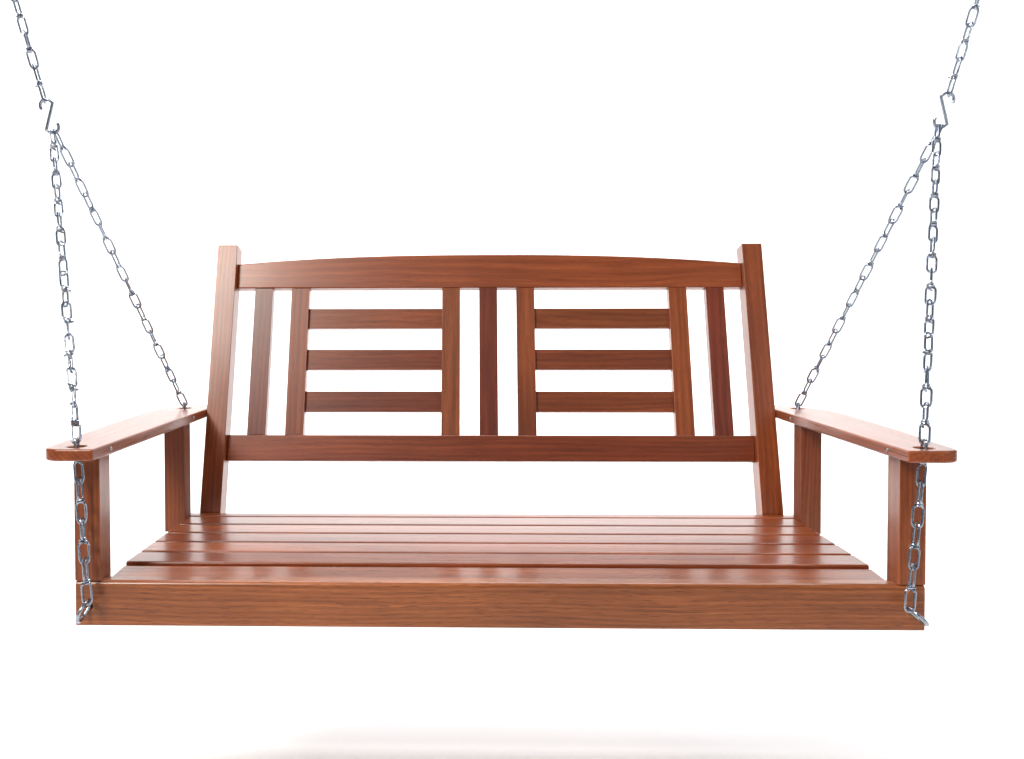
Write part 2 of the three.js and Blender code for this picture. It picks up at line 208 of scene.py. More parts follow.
def cylinder(a, b, r, n=24, to=W):
    length = (Vector(b) - Vector(a)).length
    v, f = lathe("c", a, b, [(0, 0), (0, r), (length, r), (length, 0)], n)
    return make("cutter", v, f, to=to, weighted=False)


def turned(a, b, profile, n=24, to=W):
    """one turned cutter, so that a hole and its chamfers are cut in one step"""
    v, f = lathe("c", a, b, profile, n)
    return make("cutter", v, f, to=to, weighted=False)


def spline(points, per=5, closed=False):
    """centripetal-like Catmull-Rom through the points"""
    pts = [Vector(p) for p in points]
    n = len(pts)
    out = []
    rng = n if closed else n - 1
    for i in range(rng):
        p1, p2 = pts[i], pts[(i + 1) % n]
        p0 = pts[i - 1] if (closed or i > 0) else p1 * 2 - p2
        p3 = pts[(i + 2) % n] if (closed or i + 2 < n) else p2 * 2 - p1
        for k in range(per):
            t = k / per
            out.append(0.5 * ((2 * p1) + (p2 - p0) * t + (2 * p0 - 5 * p1 + 4 * p2 - p3) * t * t
                              + (-p0 + 3 * p1 - 3 * p2 + p3) * t ** 3))
    if not closed:
        out.append(pts[-1])
    return out


def sweep(points, r, sides=10, closed=False, taper=0.0):
    """round wire along the points, with domed ends when it is open"""
    pts = [Vector(p) for p in points]
    n = len(pts)
    tangents = []
    for i in range(n):
        a = pts[i - 1] if (closed or i > 0) else pts[i]
        b = pts[(i + 1) % n] if (closed or i + 1 < n) else pts[i]
        tangents.append((b - a).normalized())
    normal = tangents[0].orthogonal().normalized()
    frames = []
    for i in range(n):
        if i:
            q = tangents[i - 1].rotation_difference(tangents[i])
            normal = q @ normal
            normal = (normal - tangents[i] * normal.dot(tangents[i])).normalized()
        frames.append(normal.copy())
    twist = 0.0
    if closed:
        q = tangents[-1].rotation_difference(tangents[0])
        end = q @ frames[-1]
        end = (end - tangents[0] * end.dot(tangents[0])).normalized()
        twist = math.atan2(tangents[0].dot(end.cross(frames[0])), end.dot(frames[0]))
    verts, faces = [], []

    def ring(c, t, nrm, rad, extra=0.0):
        b = t.cross(nrm)
        base = len(verts)
        for k in range(sides):
            a = 2 * math.pi * k / sides + extra
            verts.append(c + (nrm * math.cos(a) + b * math.sin(a)) * rad)
        return base

    rings = []
    if not closed:
        t = tangents[0]
        tip0 = len(verts)
        verts.append(pts[0] - t * (r * 0.55))
        rings.append(ring(pts[0] - t * (r * 0.4), t, frames[0], r * 0.62))
    for i in range(n):
        rings.append(ring(pts[i], tangents[i], frames[i], r, twist * i / n if closed else 0.0))
    if not closed:
        t = tangents[-1]
        rings.append(ring(pts[-1] + t * (r * 0.4), t, frames[-1], r * 0.62))
        tip1 = len(verts)
        verts.append(pts[-1] + t * (r * 0.55))
    count = len(rings)
    for i in range(count if closed else count - 1):
        a, b = rings[i], rings[(i + 1) % count]
        for k in range(sides):
            l = (k + 1) % sides
            faces.append((a + k, a + l, b + l, b + k))
    if not closed:
        for k in range(sides):
            l = (k + 1) % sides
            faces.append((tip0, rings[0] + l, rings[0] + k))
            faces.append((tip1, rings[-1] + k, rings[-1] + l))
    return verts, faces


def merged(parts):
    verts, faces = [], []
    for v, f in parts:
        base = len(verts)
        verts.extend(v)
        faces.extend(tuple(i + base for i in q) for q in f)
    return verts, faces


# ------------------------------------------------------------------ materials
class Nodes:
    def __init__(self, name):
        self.mat = bpy.data.materials.new(name)
        self.mat.use_nodes = True
        self.nt = self.mat.node_tree
        self.bsdf = next(n for n in self.nt.nodes if n.type == "BSDF_PRINCIPLED")

    def new(self, kind, **props):
        n = self.nt.nodes.new(kind)
        for k, v in props.items():
            setattr(n, k, v)
        return n

    def link(self, a, b):
        self.nt.links.new(a, b)

    def math(self, op, a, b=None, clamp=False):
        n = self.new("ShaderNodeMath", operation=op, use_clamp=clamp)
        for i, v in enumerate((a, b)):
            if v is None:
                continue
            if isinstance(v, (int, float)):
                n.inputs[i].default_value = v
            else:
                self.link(v, n.inputs[i])
        return n.outputs[0]

    def noise(self, vec, scale, detail=3.0, rough=0.55, distortion=0.0):
        n = self.new("ShaderNodeTexNoise")
        n.inputs["Scale"].default_value = scale
        n.inputs["Detail"].default_value = detail
        n.inputs["Roughness"].default_value = rough
        n.inputs["Distortion"].default_value = distortion
        self.link(vec, n.inputs["Vector"])
        return n.outputs["Fac"]

    def mapping(self, vec, scale=(1, 1, 1), loc=(0, 0, 0), rot=(0, 0, 0)):
        n = self.new("ShaderNodeMapping", vector_type="POINT")
        n.inputs["Location"].default_value = loc
        n.inputs["Rotation"].default_value = rot
        n.inputs["Scale"].default_value = scale
        self.link(vec, n.inputs["Vector"])
        return n.outputs["Vector"]

    def ramp(self, fac, stops, mode="LINEAR"):
        n = self.new("ShaderNodeValToRGB")
        n.color_ramp.interpolation = mode
        els = n.color_ramp.elements
        while len(els) < len(stops):
            els.new(0.5)
        for e, (p, c) in zip(els, stops):
            e.position = p
            e.color = (c, c, c, 1) if isinstance(c, (int, float)) else (*c, 1)
        self.link(fac, n.inputs["Fac"])
        return n.outputs["Color"]

    def mix(self, kind, fac, a, b):
        n = self.new("ShaderNodeMix", data_type="RGBA", blend_type=kind)
        for key, v in ((0, fac), (6, a), (7, b)):
            if isinstance(v, (int, float)):
                n.inputs[key].default_value = v
            elif isinstance(v, tuple):
                n.inputs[key].default_value = (*v, 1)
            else:
                self.link(v, n.inputs[key])
        return n.outputs[2]


def lin(r, g, b):
    def f(c):
        c /= 255
        return c / 12.92 if c <= 0.04045 else ((c + 0.055) / 1.055) ** 2.4
    return (f(r), f(g), f(b))


X_AXIS = Vector((1, 0, 0))


def wood(name, grain, rgb, seed, streak=1.15, rough=0.34, worn=(), pith=(0.075, 0.10), pitted=1.0, rub=0.0022):
    """stained and varnished hardwood; grain is the board's length, rgb its mean colour"""
    m = Nodes(name)
    base = tuple(c * k for c, k in zip(lin(*rgb), (0.93, 0.84, 0.60)))
    coord = m.new("ShaderNodeTexCoord").outputs["Object"]
    rot = Vector(grain).rotation_difference(X_AXIS).to_euler("XYZ")
    off = (seed * 1.37 % 5, seed * 0.731 % 3, seed * 0.517 % 3)
    p = m.mapping(coord, rot=tuple(rot), loc=off)
    # the whole board wanders a little, so the lines are not ruled
    drift = m.new("ShaderNodeTexNoise")
    drift.inputs["Scale"].default_value = 1.0
    drift.inputs["Detail"].default_value = 2.0
    m.link(m.mapping(p, scale=(2.3, 7, 7)), drift.inputs["Vector"])
    sub = m.new("ShaderNodeVectorMath", operation="SUBTRACT")
    m.link(drift.outputs["Color"], sub.inputs[0])
    sub.inputs[1].default_value = (0.5, 0.5, 0.5)
    scl = m.new("ShaderNodeVectorMath", operation="MULTIPLY")
    m.link(sub.outputs[0], scl.inputs[0])
    scl.inputs[1].default_value = (0.0, 0.022, 0.022)
    add = m.new("ShaderNodeVectorMath", operation="ADD")
    m.link(p, add.inputs[0])
    m.link(scl.outputs[0], add.inputs[1])
    q = add.outputs[0]
    # growth rings about a pith line outside the board
    rings = m.new("ShaderNodeTexWave", wave_type="RINGS", rings_direction="X", wave_profile="SIN")
    rings.inputs["Scale"].default_value = 42
    rings.inputs["Distortion"].default_value = 5.5
    rings.inputs["Detail"].default_value = 2.5
    rings.inputs["Detail Scale"].default_value = 0.8
    m.link(m.mapping(q, scale=(0.05, 1, 1), loc=(0, -off[1] + pith[0], -off[2] + pith[1])), rings.inputs["Vector"])
    fine = m.noise(m.mapping(q, scale=(7, 420, 420)), 1.0, 3, 0.6)
    thread = m.noise(m.mapping(q, scale=(22, 1500, 1500)), 1.0, 2, 0.6)
    broad = m.noise(m.mapping(q, scale=(1.6, 60, 60)), 1.0, 3, 0.55)
    cloud = m.noise(m.mapping(p, scale=(3.5, 9, 9)), 1.0, 2, 0.5)
    # pores: short dark dashes along the grain
    pore = m.noise(m.mapping(q, scale=(40, 900, 900)), 1.0, 1, 0.4)
    pores = m.ramp(pore, [(0.0, 1.0), (0.30 + 0.05 * (pitted - 1), 1.0), (0.39 + 0.05 * (pitted - 1), 0.0), (1.0, 0.0)])
    a = m.math("MULTIPLY", rings.outputs["Fac"], 0.20)
    b = m.math("MULTIPLY", broad, 0.85)
    c = m.math("MULTIPLY", fine, 0.62)
    d = m.math("MULTIPLY", thread, 0.22)
    total = m.math("ADD", m.math("ADD", a, b), m.math("ADD", c, d))
    tone = m.math("SUBTRACT", total, 0.43)

    def shade(k, red=0.0):
        return (min(1, base[0] * k * (1 + red)), base[1] * k, base[2] * k * (1 - red))
    lo, hi = 1 - 0.42 * streak, 1 + 0.42 * streak
    colour = m.ramp(tone, [(0.12, shade(lo, 0.05)), (0.40, shade(0.5 * (1 + lo), 0.03)),
                           (0.58, shade(1.0)), (0.88, shade(hi, -0.04))])
    colour = m.mix("MULTIPLY", 0.75, colour, m.ramp(cloud, [(0.28, (0.80, 0.74, 0.70)), (0.72, (1.16, 1.16, 1.14))]))
    colour = m.mix("MIX", m.math("MULTIPLY", pores, 0.46 * streak), colour, shade(0.34, 0.08))
    for (centre, radius, amount) in worn:
        dist = m.new("ShaderNodeVectorMath", operation="DISTANCE")
        m.link(coord, dist.inputs[0])
        dist.inputs[1].default_value = tuple(W(centre) * 0.001)
        jag = m.math("ADD", dist.outputs["Value"], m.math("MULTIPLY", fine, 0.004))
        mask = m.ramp(m.math("DIVIDE", jag, radius * 0.001 * 2), [(0.45, 1.0), (0.62, 0.0)])
        colour = m.mix("MIX", m.math("MULTIPLY", mask, amount), colour, lin(214, 176, 136))
    # painted highlight: the colour is lightened along rounded edges (where the Bevel normal turns away from the true
    # normal), standing in for the light the edges catch
    bev = m.new("ShaderNodeBevel")
    bev.samples = 4
    bev.inputs["Radius"].default_value = rub
    geo = m.new("ShaderNodeNewGeometry")
    dot = m.new("ShaderNodeVectorMath", operation="DOT_PRODUCT")
    m.link(bev.outputs[0], dot.inputs[0])
    m.link(geo.outputs["Normal"], dot.inputs[1])
    painted_edge_highlight = m.ramp(m.math("SUBTRACT", 1.0, dot.outputs["Value"]), [(0.02, 0.0), (0.12, 1.0)])
    painted_edge_highlight = m.math("MULTIPLY", painted_edge_highlight, m.ramp(broad, [(0.35, 0.15), (0.65, 0.55)]))
    # lighter colour on the edges: painted highlight
    colour = m.mix("MIX", painted_edge_highlight, colour, shade(2.1, -0.10))
    m.link(colour, m.bsdf.inputs["Base Color"])
    r = m.math("ADD", m.math("MULTIPLY", fine, 0.20), rough - 0.10)
    m.link(r, m.bsdf.inputs["Roughness"])
    m.bsdf.inputs["IOR"].default_value = 1.5
    m.bsdf.inputs["Specular IOR Level"].default_value = 0.5
    m.bsdf.inputs["Coat Weight"].default_value = 0.35
    m.bsdf.inputs["Coat Roughness"].default_value = 0.16
    m.bsdf.inputs["Coat IOR"].default_value = 1.5
    height = m.math("SUBTRACT", m.math("ADD", m.math("MULTIPLY", fine, 0.7), m.math("MULTIPLY", thread, 0.3)),
                    m.math("MULTIPLY", pores, 0.35))
    bump = m.new("ShaderNodeBump")
    bump.inputs["Strength"].default_value = 0.16
    bump.inputs["Distance"].default_value = 0.0004
    m.link(height, bump.inputs["Height"])
    m.link(bump.outputs[0], m.bsdf.inputs["Normal"])
    return m.mat


def metal(name, rgb, rough, seed, spangle=0.12):
    """zinc-plated steel wire: bright, faintly blue, with small changes in polish"""
    m = Nodes(name)
    coord = m.new("ShaderNodeTexCoord").outputs["Object"]
    p = m.mapping(coord, loc=(seed, seed * 0.7, seed * 0.3))
    n1 = m.noise(p, 260, 3, 0.6)
    n2 = m.noise(p, 45, 2, 0.5)
    base = lin(*rgb)
    lo = tuple(c * (1 - 1.6 * spangle) for c in base)
    hi = tuple(min(1, c * (1 + spangle)) for c in base)
    col = m.ramp(n1, [(0.3, lo), (0.7, hi)])
    col = m.mix("MULTIPLY", 0.6, col, m.ramp(n2, [(0.3, (0.86, 0.90, 0.96)), (0.7, (1.04, 1.02, 1.0))]))
    m.link(col, m.bsdf.inputs["Base Color"])
    m.bsdf.inputs["Metallic"].default_value = 1.0
    m.link(m.math("ADD", m.math("MULTIPLY", n1, 0.22), rough - 0.11), m.bsdf.inputs["Roughness"])
    bump = m.new("ShaderNodeBump")
    bump.inputs["Strength"].default_value = 0.10
    bump.inputs["Distance"].default_value = 0.0002
    m.link(n1, bump.inputs["Height"])
    m.link(bump.outputs[0], m.bsdf.inputs["Normal"])
    return m.mat


ZINC = metal("zinc_plate", (182, 189, 199), 0.24, 1.3)
ZINC_CHAIN = metal("zinc_chain_wire", (176, 184, 197), 0.22, 2.9, 0.18)
STEEL = metal("screw_steel", (176, 178, 180), 0.34, 4.1)

# mean colours (sRGB) of the boards
RAIL_RGB = (160, 92, 56)
POST_RGB = (150, 82, 50)
SLAT_RGB = (148, 78, 48)
ARM_RGB = (152, 80, 48)

seed_count = [3]


def board_wood(name, grain_bench, rgb, **kw):
    seed_count[0] += 1
    return wood("wood_" + name, turn(grain_bench), rgb, seed_count[0] * 1.618, **kw)


def place(o, body, slot, *nodes):
    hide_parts(*nodes)
    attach(o, body)
    return o


# ------------------------------------------------------------------ sizes, as in the part
GAP = 0.15
RAIL_HALF, RAIL_H, RAIL_T, REAR_RAIL_Y, REAR_RAIL_TOP = 635, 68.5, 28, 432, 2
BEARER_X, BEARER_T = 595, 30
SLAT_N, SLAT_W, SLAT_PITCH, SLAT_T, SLAT_Y0, SEAT_TOP = 6, 59.8, 66.4, 18, 29.6, 3
FRONT_SLAT_DROP, FRONT_SLAT_LEAN = 4, math.radians(3.5)
POST, POST_IN, ARM_Z0, ARM_T, REAR_POST_Y, TONGUE, ARM_IN = 39, 596, 188.3, 18, 398.5, 22, 586
CHAIN_HOLE_R, FRONT_HOLE, REAR_HOLE = 14, (622, -18), (637, 530)
RAKE = math.atan(0.27)
BACK_Y0, BACK_POST_OUT, BACK_POST_W, BACK_POST_D, BACK_POST_TOP = 459, 585, 42, 41.5, 553.6
RAIL_LOW, RAIL_TOP, BACK_SET, BACK_RAIL_T = (105, 156.8), (463.7, 516.2, 536.2), 17.1, 24
BACK_SLAT_W, BACK_SLAT_T = 38.5, 21
BACK_SLAT_X = (-484, -404.7, -79.5, 0, 79.5, 404.7, 484)
PANEL_T, PANEL_Z = 12, ((378.7, 420.9), (291.6, 333.8), (204.6, 246.8))
WIRE, BEND_Z = 3.6, 215
EYE_WIRE, EYE_R, EYE_Z, EYE_OUT = 5.5, 16.5, -39, 20.5
EYE_X = {"front": 613.5, "rear": 622}
EYE_LEAN = {"front_right": math.radians(22), "front_left": math.radians(46),
            "rear_right": math.radians(-20), "rear_left": math.radians(-20)}
HOOK_WIRE, HOOK_R = 5.6, 11
CEIL_WIRE, CEIL_R, PLATE, PLATE_Z, LAG_X = 8, 14, (84, 40, 6), 36, 28


def along_x(a, b, d):
    return (d, a, b)


def along_y(a, b, d):
    return (a, d, b)


def along_z(a, b, d):
    return (a, b, d)


def rect(a0, a1, b0, b1):
    return [(a0, b0), (a1, b0), (a1, b1), (a0, b1)]


# ------------------------------------------------------------------ seat frame
for name, y0, top, radii, rgb in (
    ("front_rail", 0, 0, (3, 3, 4, 7.5), (160, 94, 58)),
    ("rear_rail", REAR_RAIL_Y, REAR_RAIL_TOP, (3, 3, 4, 4), (138, 72, 45)),
):
    outline = rounded(rect(y0, y0 + RAIL_T, -RAIL_H, top), radii, 7)
    outer = -1 if name == "front_rail" else 1
    face = y0 if outer < 0 else y0 + RAIL_T
    cutters = []
    ex = EYE_X["front" if outer < 0 else "rear"]
    for side in (-1, 1):
        cutters.append(turned((side * ex, face + outer * 1.0, EYE_Z), (side * ex, face - outer * (RAIL_T + 2), EYE_Z),
                              [(0, 0), (0, 7.4), (4.0, 4.2), (RAIL_T + 3, 4.2), (RAIL_T + 3, 0)], 26))
    worn = [((side * ex, face, EYE_Z), 8.5, 0.40) for side in (-1, 1)] if name == "front_rail" else ()
    # the front rail's wider edge radius paints the highlight along its rounded top edge
    pitted, rub = (1.9, 0.006) if name == "front_rail" else (1.0, 0.0022)
    o = prism(name + "_shown", outline, along_x, -RAIL_HALF, RAIL_HALF, rim=1.8, cutters=cutters,
              mat=board_wood(name, (1, 0, 0), rgb, worn=worn, streak=1.25, pitted=pitted, rub=rub))
    place(o, "bench", "stained_wood", name)

bearer_top = SEAT_TOP - SLAT_T - 2 * GAP
nose_drop = FRONT_SLAT_DROP + SLAT_W * math.sin(FRONT_SLAT_LEAN) + 0.8
y0, y1 = RAIL_T + 2 * GAP, REAR_RAIL_Y - 2 * GAP
bearer = [(y0, -RAIL_H), (y1, -RAIL_H), (y1, bearer_top), (SLAT_Y0 + SLAT_W + 4.5, bearer_top),
          (SLAT_Y0 + SLAT_W + 1, bearer_top - FRONT_SLAT_DROP - 0.4), (y0, bearer_top - nose_drop)]
for name, x0 in (("seat_bearer_right", -BEARER_X), ("seat_bearer_centre", -BEARER_T / 2),
                 ("seat_bearer_left", BEARER_X - BEARER_T)):
    o = prism(name + "_shown", rounded(bearer, (1.6, 1.6, 0.8, 0.8, 0.8, 0.8), 4), along_x, x0, x0 + BEARER_T, rim=1.6,
              mat=board_wood(name, (0, 1, 0), (116, 60, 38)))
    place(o, "bench", "bearer_wood", name)

slat_tones = [(146, 82, 56), (142, 74, 48), (152, 82, 52), (138, 70, 46), (148, 80, 52), (140, 74, 48)]
for i in range(SLAT_N):
    y = SLAT_Y0 + i * SLAT_PITCH
    x = BEARER_X - GAP
    name = f"seat_slat_{i + 1}"
    if i == 0:
        cl, sl = math.cos(FRONT_SLAT_LEAN), math.sin(FRONT_SLAT_LEAN)

        def at(a, b, d, y=y):
            return (d, y + SLAT_W + a * cl - b * sl, SEAT_TOP - FRONT_SLAT_DROP + a * sl + b * cl)
        outline = rounded(rect(-SLAT_W, 0, -SLAT_T, 0), (2.5, 2.5, 4, 5), 6)
    else:
        at = along_x
        outline = rounded(rect(y, y + SLAT_W, SEAT_TOP - SLAT_T, SEAT_TOP), (2, 2, 3.6, 3.6), 6)
    o = prism(name + "_shown", outline, at, -x, x, rim=2.4,
              mat=board_wood(name, (1, 0, 0), slat_tones[i], rough=0.30))
    place(o, "bench", "slat_wood", name)

# ------------------------------------------------------------------ arm posts and armrests
for side, hand in ((-1, "right"), (1, "left")):
    x0, x1 = (-POST_IN - POST, -POST_IN) if side < 0 else (POST_IN, POST_IN + POST)
    top = ARM_Z0 - 2 * GAP
    front = [(0.2, 2 * GAP), (RAIL_T + 2 * GAP, 2 * GAP), (RAIL_T + 2 * GAP, -TONGUE), (POST, -TONGUE), (POST, top), (0.2, top)]
    r0, r1 = REAR_POST_Y, REAR_POST_Y + POST
    rear = [(r0, -TONGUE), (REAR_RAIL_Y - 2 * GAP, -TONGUE), (REAR_RAIL_Y - 2 * GAP, REAR_RAIL_TOP + 2 * GAP),
            (r1, REAR_RAIL_TOP + 2 * GAP), (r1, top), (r0, top)]
    for place_name, profile in (("front", front), ("rear", rear)):
        name = f"arm_post_{place_name}_{hand}"
        o = prism(name + "_shown", rounded(profile, 0.7, 3), along_x, x0, x1, rim=2.2,
                  mat=board_wood(name, (0, 0, 1), POST_RGB if place_name == "front" else (142, 76, 47)))
        place(o, "bench", "stained_wood", name)

    outer_curve = spline([(664.6, -21), (666, 0), (669, 60), (679, 148), (685, 255), (690, 370), (691, 440),
                          (685, 495), (668, 545), (641, 582), (615, 606), (600, 613)], 4)
    outline = [(ARM_IN, -41), (ARM_IN + 1.2, -44.6), (ARM_IN + 4, -46), (637, -46.8), (646, -45.6), (653.5, -42.2), (659.2, -36.8), (662.8, -30)]
    outline += [tuple(p) for p in outer_curve] + [(ARM_IN + 4, 613.8), (ARM_IN + 1, 613), (ARM_IN, 610)]
    outline = [(side * a, b) for a, b in outline]
    cutters = []
    for hx, hy in (FRONT_HOLE, REAR_HOLE):
        cutters.append(turned((side * hx, hy, ARM_Z0 - 1), (side * hx, hy, ARM_Z0 + ARM_T + 1),
                              [(0, 0), (0, CHAIN_HOLE_R + 2.6), (2.6, CHAIN_HOLE_R), (ARM_T - 0.6, CHAIN_HOLE_R),
                               (ARM_T + 2, CHAIN_HOLE_R + 2.6), (ARM_T + 2, 0)], 42))
    zs = ARM_Z0 + ARM_T / 2
    for ys in (20, 431):
        cutters.append(turned((side * (ARM_IN - 2), ys, zs), (side * (ARM_IN + 31), ys, zs),
                              [(0, 0), (0, 4.2), (5, 4.2), (5.3, 2.5), (33, 2.5), (33, 0)], 26))
    name = f"armrest_{hand}"
    o = prism(name + "_shown", outline, along_z, ARM_Z0, ARM_Z0 + ARM_T, rim=3.4, rim_seg=5, cutters=cutters,
              mat=board_wood(name, (0, 1, 0), ARM_RGB, rough=0.30, streak=1.1,
                             pith=(0.16, 0.03)))
    place(o, "bench", "slat_wood", name)

    for ys, place_name in ((20, "front"), (431, "rear")):
        name = f"arm_screw_{place_name}_{hand}"
        a = Vector((side * (ARM_IN - 1.2), ys, zs))
        b = Vector((side * (ARM_IN + 29), ys, zs))
        prof = [(0, 0), (0, 1.6), (0.25, 2.5), (0.7, 3.2), (1.3, 3.5), (2.6, 3.5), (3.4, 2.6), (4.4, 1.9)]
        s = 5.0
        while s < 27.4:
            prof += [(s, 1.5), (s + 0.55, 1.95), (s + 1.1, 1.5)]
            s += 1.7
        prof += [(28.2, 1.0), (30.0, 0.0)]
        v, f = lathe(name, a, b, prof, 28)
        o = make(name + "_shown", v, f)
        recess = []
        for k in (0, 1):
            dy, dz = (0.42, 1.75) if k else (1.75, 0.42)
            vs = [Vector((side * (ARM_IN - 1.2 + dx), ys + sy * dy, zs + sz * dz)) for dx in (-0.5, 1.3) for sy in (-1, 1) for sz in (-1, 1)]
            recess.append(make("cutter", vs, [(0, 1, 3, 2), (4, 6, 7, 5), (0, 4, 5, 1), (2, 3, 7, 6), (0, 2, 6, 4), (1, 5, 7, 3)], weighted=False))
        cut(o, recess)
        finish_mesh(o.data, 35)
        o.data.materials.append(STEEL)
        place(o, "bench", "steel", name)

# ------------------------------------------------------------------ backrest
UP = Vector((0, math.sin(RAKE), math.cos(RAKE)))
AWAY = Vector((0, math.cos(RAKE), -math.sin(RAKE)))


def S(z):
    return z / math.cos(RAKE)


def back_at(a, b, d):
    return Vector((a, BACK_Y0, 0)) + UP * b + AWAY * d


post_in = BACK_POST_OUT - BACK_POST_W
t = math.tan(RAKE)
flat = REAR_RAIL_Y + RAIL_T + 2 * GAP
thick = BACK_POST_D / math.cos(RAKE)
fy = BACK_Y0 + t * BACK_POST_TOP
ry, rz = fy + BACK_POST_D * math.cos(RAKE), BACK_POST_TOP - BACK_POST_D * math.sin(RAKE)
profile = [(flat, -RAIL_H), (BACK_Y0 - RAIL_H * t + thick, -RAIL_H), (ry, rz), (fy, BACK_POST_TOP), (flat, (flat - BACK_Y0) / t)]
for side, hand in ((-1, "right"), (1, "left")):
    name = f"back_post_{hand}"
    x0, x1 = (-BACK_POST_OUT, -post_in) if side < 0 else (post_in, BACK_POST_OUT)
    o = prism(name + "_shown", rounded(profile, (1.5, 1.5, 3, 3, 0.5), 4), along_x, x0, x1, rim=2.6, rim_seg=4,
              mat=board_wood(name, UP, (154, 82, 50)))
    place(o, "bench", "stained_wood", name)

half = post_in - 2 * GAP
crown = []
for i in range(41):
    u = 1 - (2 * i) / 40
    crown.append((u * half, S(RAIL_TOP[1] + (RAIL_TOP[2] - RAIL_TOP[1]) * (1 - abs(u) ** 2.4))))
o = prism("back_top_rail_shown", [(-half, S(RAIL_TOP[0])), (half, S(RAIL_TOP[0]))] + crown, back_at,
          BACK_SET, BACK_SET + BACK_RAIL_T, rim=2.6, rim_seg=4,
          mat=board_wood("back_top_rail", (1, 0, 0), (160, 84, 50), streak=0.95))
place(o, "bench", "stained_wood", "back_top_rail")
o = prism("back_bottom_rail_shown", rect(-half, half, S(RAIL_LOW[0]), S(RAIL_LOW[1])), back_at,
          BACK_SET, BACK_SET + BACK_RAIL_T, rim=2.6, rim_seg=4,
          mat=board_wood("back_bottom_rail", (1, 0, 0), (146, 72, 44)))
place(o, "bench", "stained_wood", "back_bottom_rail")

tones = [(124, 58, 42), (140, 72, 46), (156, 88, 56), (128, 60, 44), (148, 80, 50), (156, 84, 50), (130, 60, 42)]
for i, x in enumerate(BACK_SLAT_X):
    name = f"back_slat_{i + 1}"
    outline = rect(x - BACK_SLAT_W / 2, x + BACK_SLAT_W / 2, S(RAIL_LOW[1]) + 2 * GAP, S(RAIL_TOP[0]) - 2 * GAP)
    o = prism(name + "_shown", rounded(outline, 0.4, 2), back_at, BACK_SET + 1.5, BACK_SET + 1.5 + BACK_SLAT_T, rim=1.8,
              mat=board_wood(name, UP, tones[i]))
    place(o, "bench", "slat_wood", name)
panel_tones = {"right": [(150, 80, 50), (136, 68, 44), (128, 62, 42)], "left": [(148, 82, 50), (134, 70, 46), (140, 74, 46)]}
for i0, i1, hand in ((1, 2, "right"), (4, 5, "left")):
    for k, (z0, z1) in enumerate(PANEL_Z):
        name = f"panel_slat_{hand}_{k + 1}"
        outline = rect(BACK_SLAT_X[i0] + BACK_SLAT_W / 2 + 2 * GAP, BACK_SLAT_X[i1] - BACK_SLAT_W / 2 - 2 * GAP, S(z0), S(z1))
        o = prism(name + "_shown", rounded(outline, 0.3, 2), back_at, BACK_SET + 9, BACK_SET + 9 + PANEL_T, rim=1.5,
                  mat=board_wood(name, (1, 0, 0), panel_tones[hand][k]))
        place(o, "bench", "slat_wood", name)


# ------------------------------------------------------------------ chain
def loop_path(neck, d, side_dir, length, half, gap, flip=1):
    """one loop of a link, from its neck out to the bearing end and back"""
    pts = [(gap, -1.6), (gap, 0.6), (gap + 1.2, 2.4), (half * 0.90, 4.6), (half, 8.5), (half, length * 0.55),
           (half * 0.97, length - half * 0.95), (half * 0.76, length - half * 0.36), (half * 0.40, length - half * 0.06), (0, length)]
    pts += [(-a, b) for a, b in reversed(pts[:-1])]
    return spline([neck + side_dir * a + d * (b * flip) for a, b in pts], 3)


def wire_link(a, d, n_top, n_bot, s0, s1, ear, wire=3.8, slim=False):
    """double-loop link between its inner ends s0 and s1 on the line from a along d"""
    mid = (s0 + s1) / 2
    neck = a + d * mid
    side_t = n_top.cross(d).normalized()
    side_b = n_bot.cross(d).normalized()
    length = (s1 - s0) / 2 + wire / 2
    parts = [sweep(loop_path(neck, d, side_t, length, 5.8 if slim else 6.4, 1.7, -1), wire / 2, 10),
             sweep(loop_path(neck, d, side_b, length, 5.8 if slim else 6.9, 1.7, 1), wire / 2, 10)]
    # the wire's ends wrap round the neck and leave a short ear
    coil = []
    e1, e2 = side_b, d.cross(side_b).normalized()
    steps = 22
    for k in range(steps + 1):
        th = ear + 2 * math.pi * 1.55 * k / steps
        wide = 4.4 if slim else 5.0
        coil.append(neck + d * (-2.9 + 5.8 * k / steps) + (e1 * math.cos(th) * wide + e2 * math.sin(th) * 4.1))
    th = ear + 2 * math.pi * 1.55
    out = e1 * math.cos(th) + e2 * math.sin(th)
    tang = (e2 * math.cos(th) - e1 * math.sin(th))
    if not slim:
        coil.append(neck + d * 3.0 + out * 5.6 + tang * 3.0)
        coil.append(neck + d * 2.6 + out * 7.6 + tang * 4.6)
    parts.append(sweep(coil, 1.85, 8))
    return parts


def run(a, b, turns, e, start_lap, end_lap, k0, twist=(), slim=()):
    a, b = Vector(a), Vector(b)
    d = (b - a)
    length = d.length
    d.normalize()
    flat_e = (e - d * e.dot(d)).normalized()
    normals = {"E": flat_e, "F": d.cross(flat_e)}
    p = length / len(turns)
    parts = []
    for i, tt in enumerate(turns):
        s0 = start_lap if (i == 0 and start_lap < 0) else i * p - 1.9
        s1 = length + end_lap if (i == len(turns) - 1 and end_lap > 0) else (i + 1) * p + 1.9
        q = Matrix.Rotation(math.radians(twist[i] if i < len(twist) else 0), 3, d)
        parts += wire_link(a, d, q @ normals[tt[0]], q @ normals[tt[1]], s0, s1, 0.5 + math.pi * ((i + k0) % 3 == 1) + 0.3 * (i % 2), slim=i in slim)
    return parts


# how far each link hangs turned from square, in degrees
TWISTS = {"front": (0, -8, 4, -6, 10, 34, 66, 78, 42, 8, -4, 6, -6, 0),
          "rear": (0, 8, 14, -10, 6, -12, 8, -6, 12, 0, 0, -8, 4, 0)}

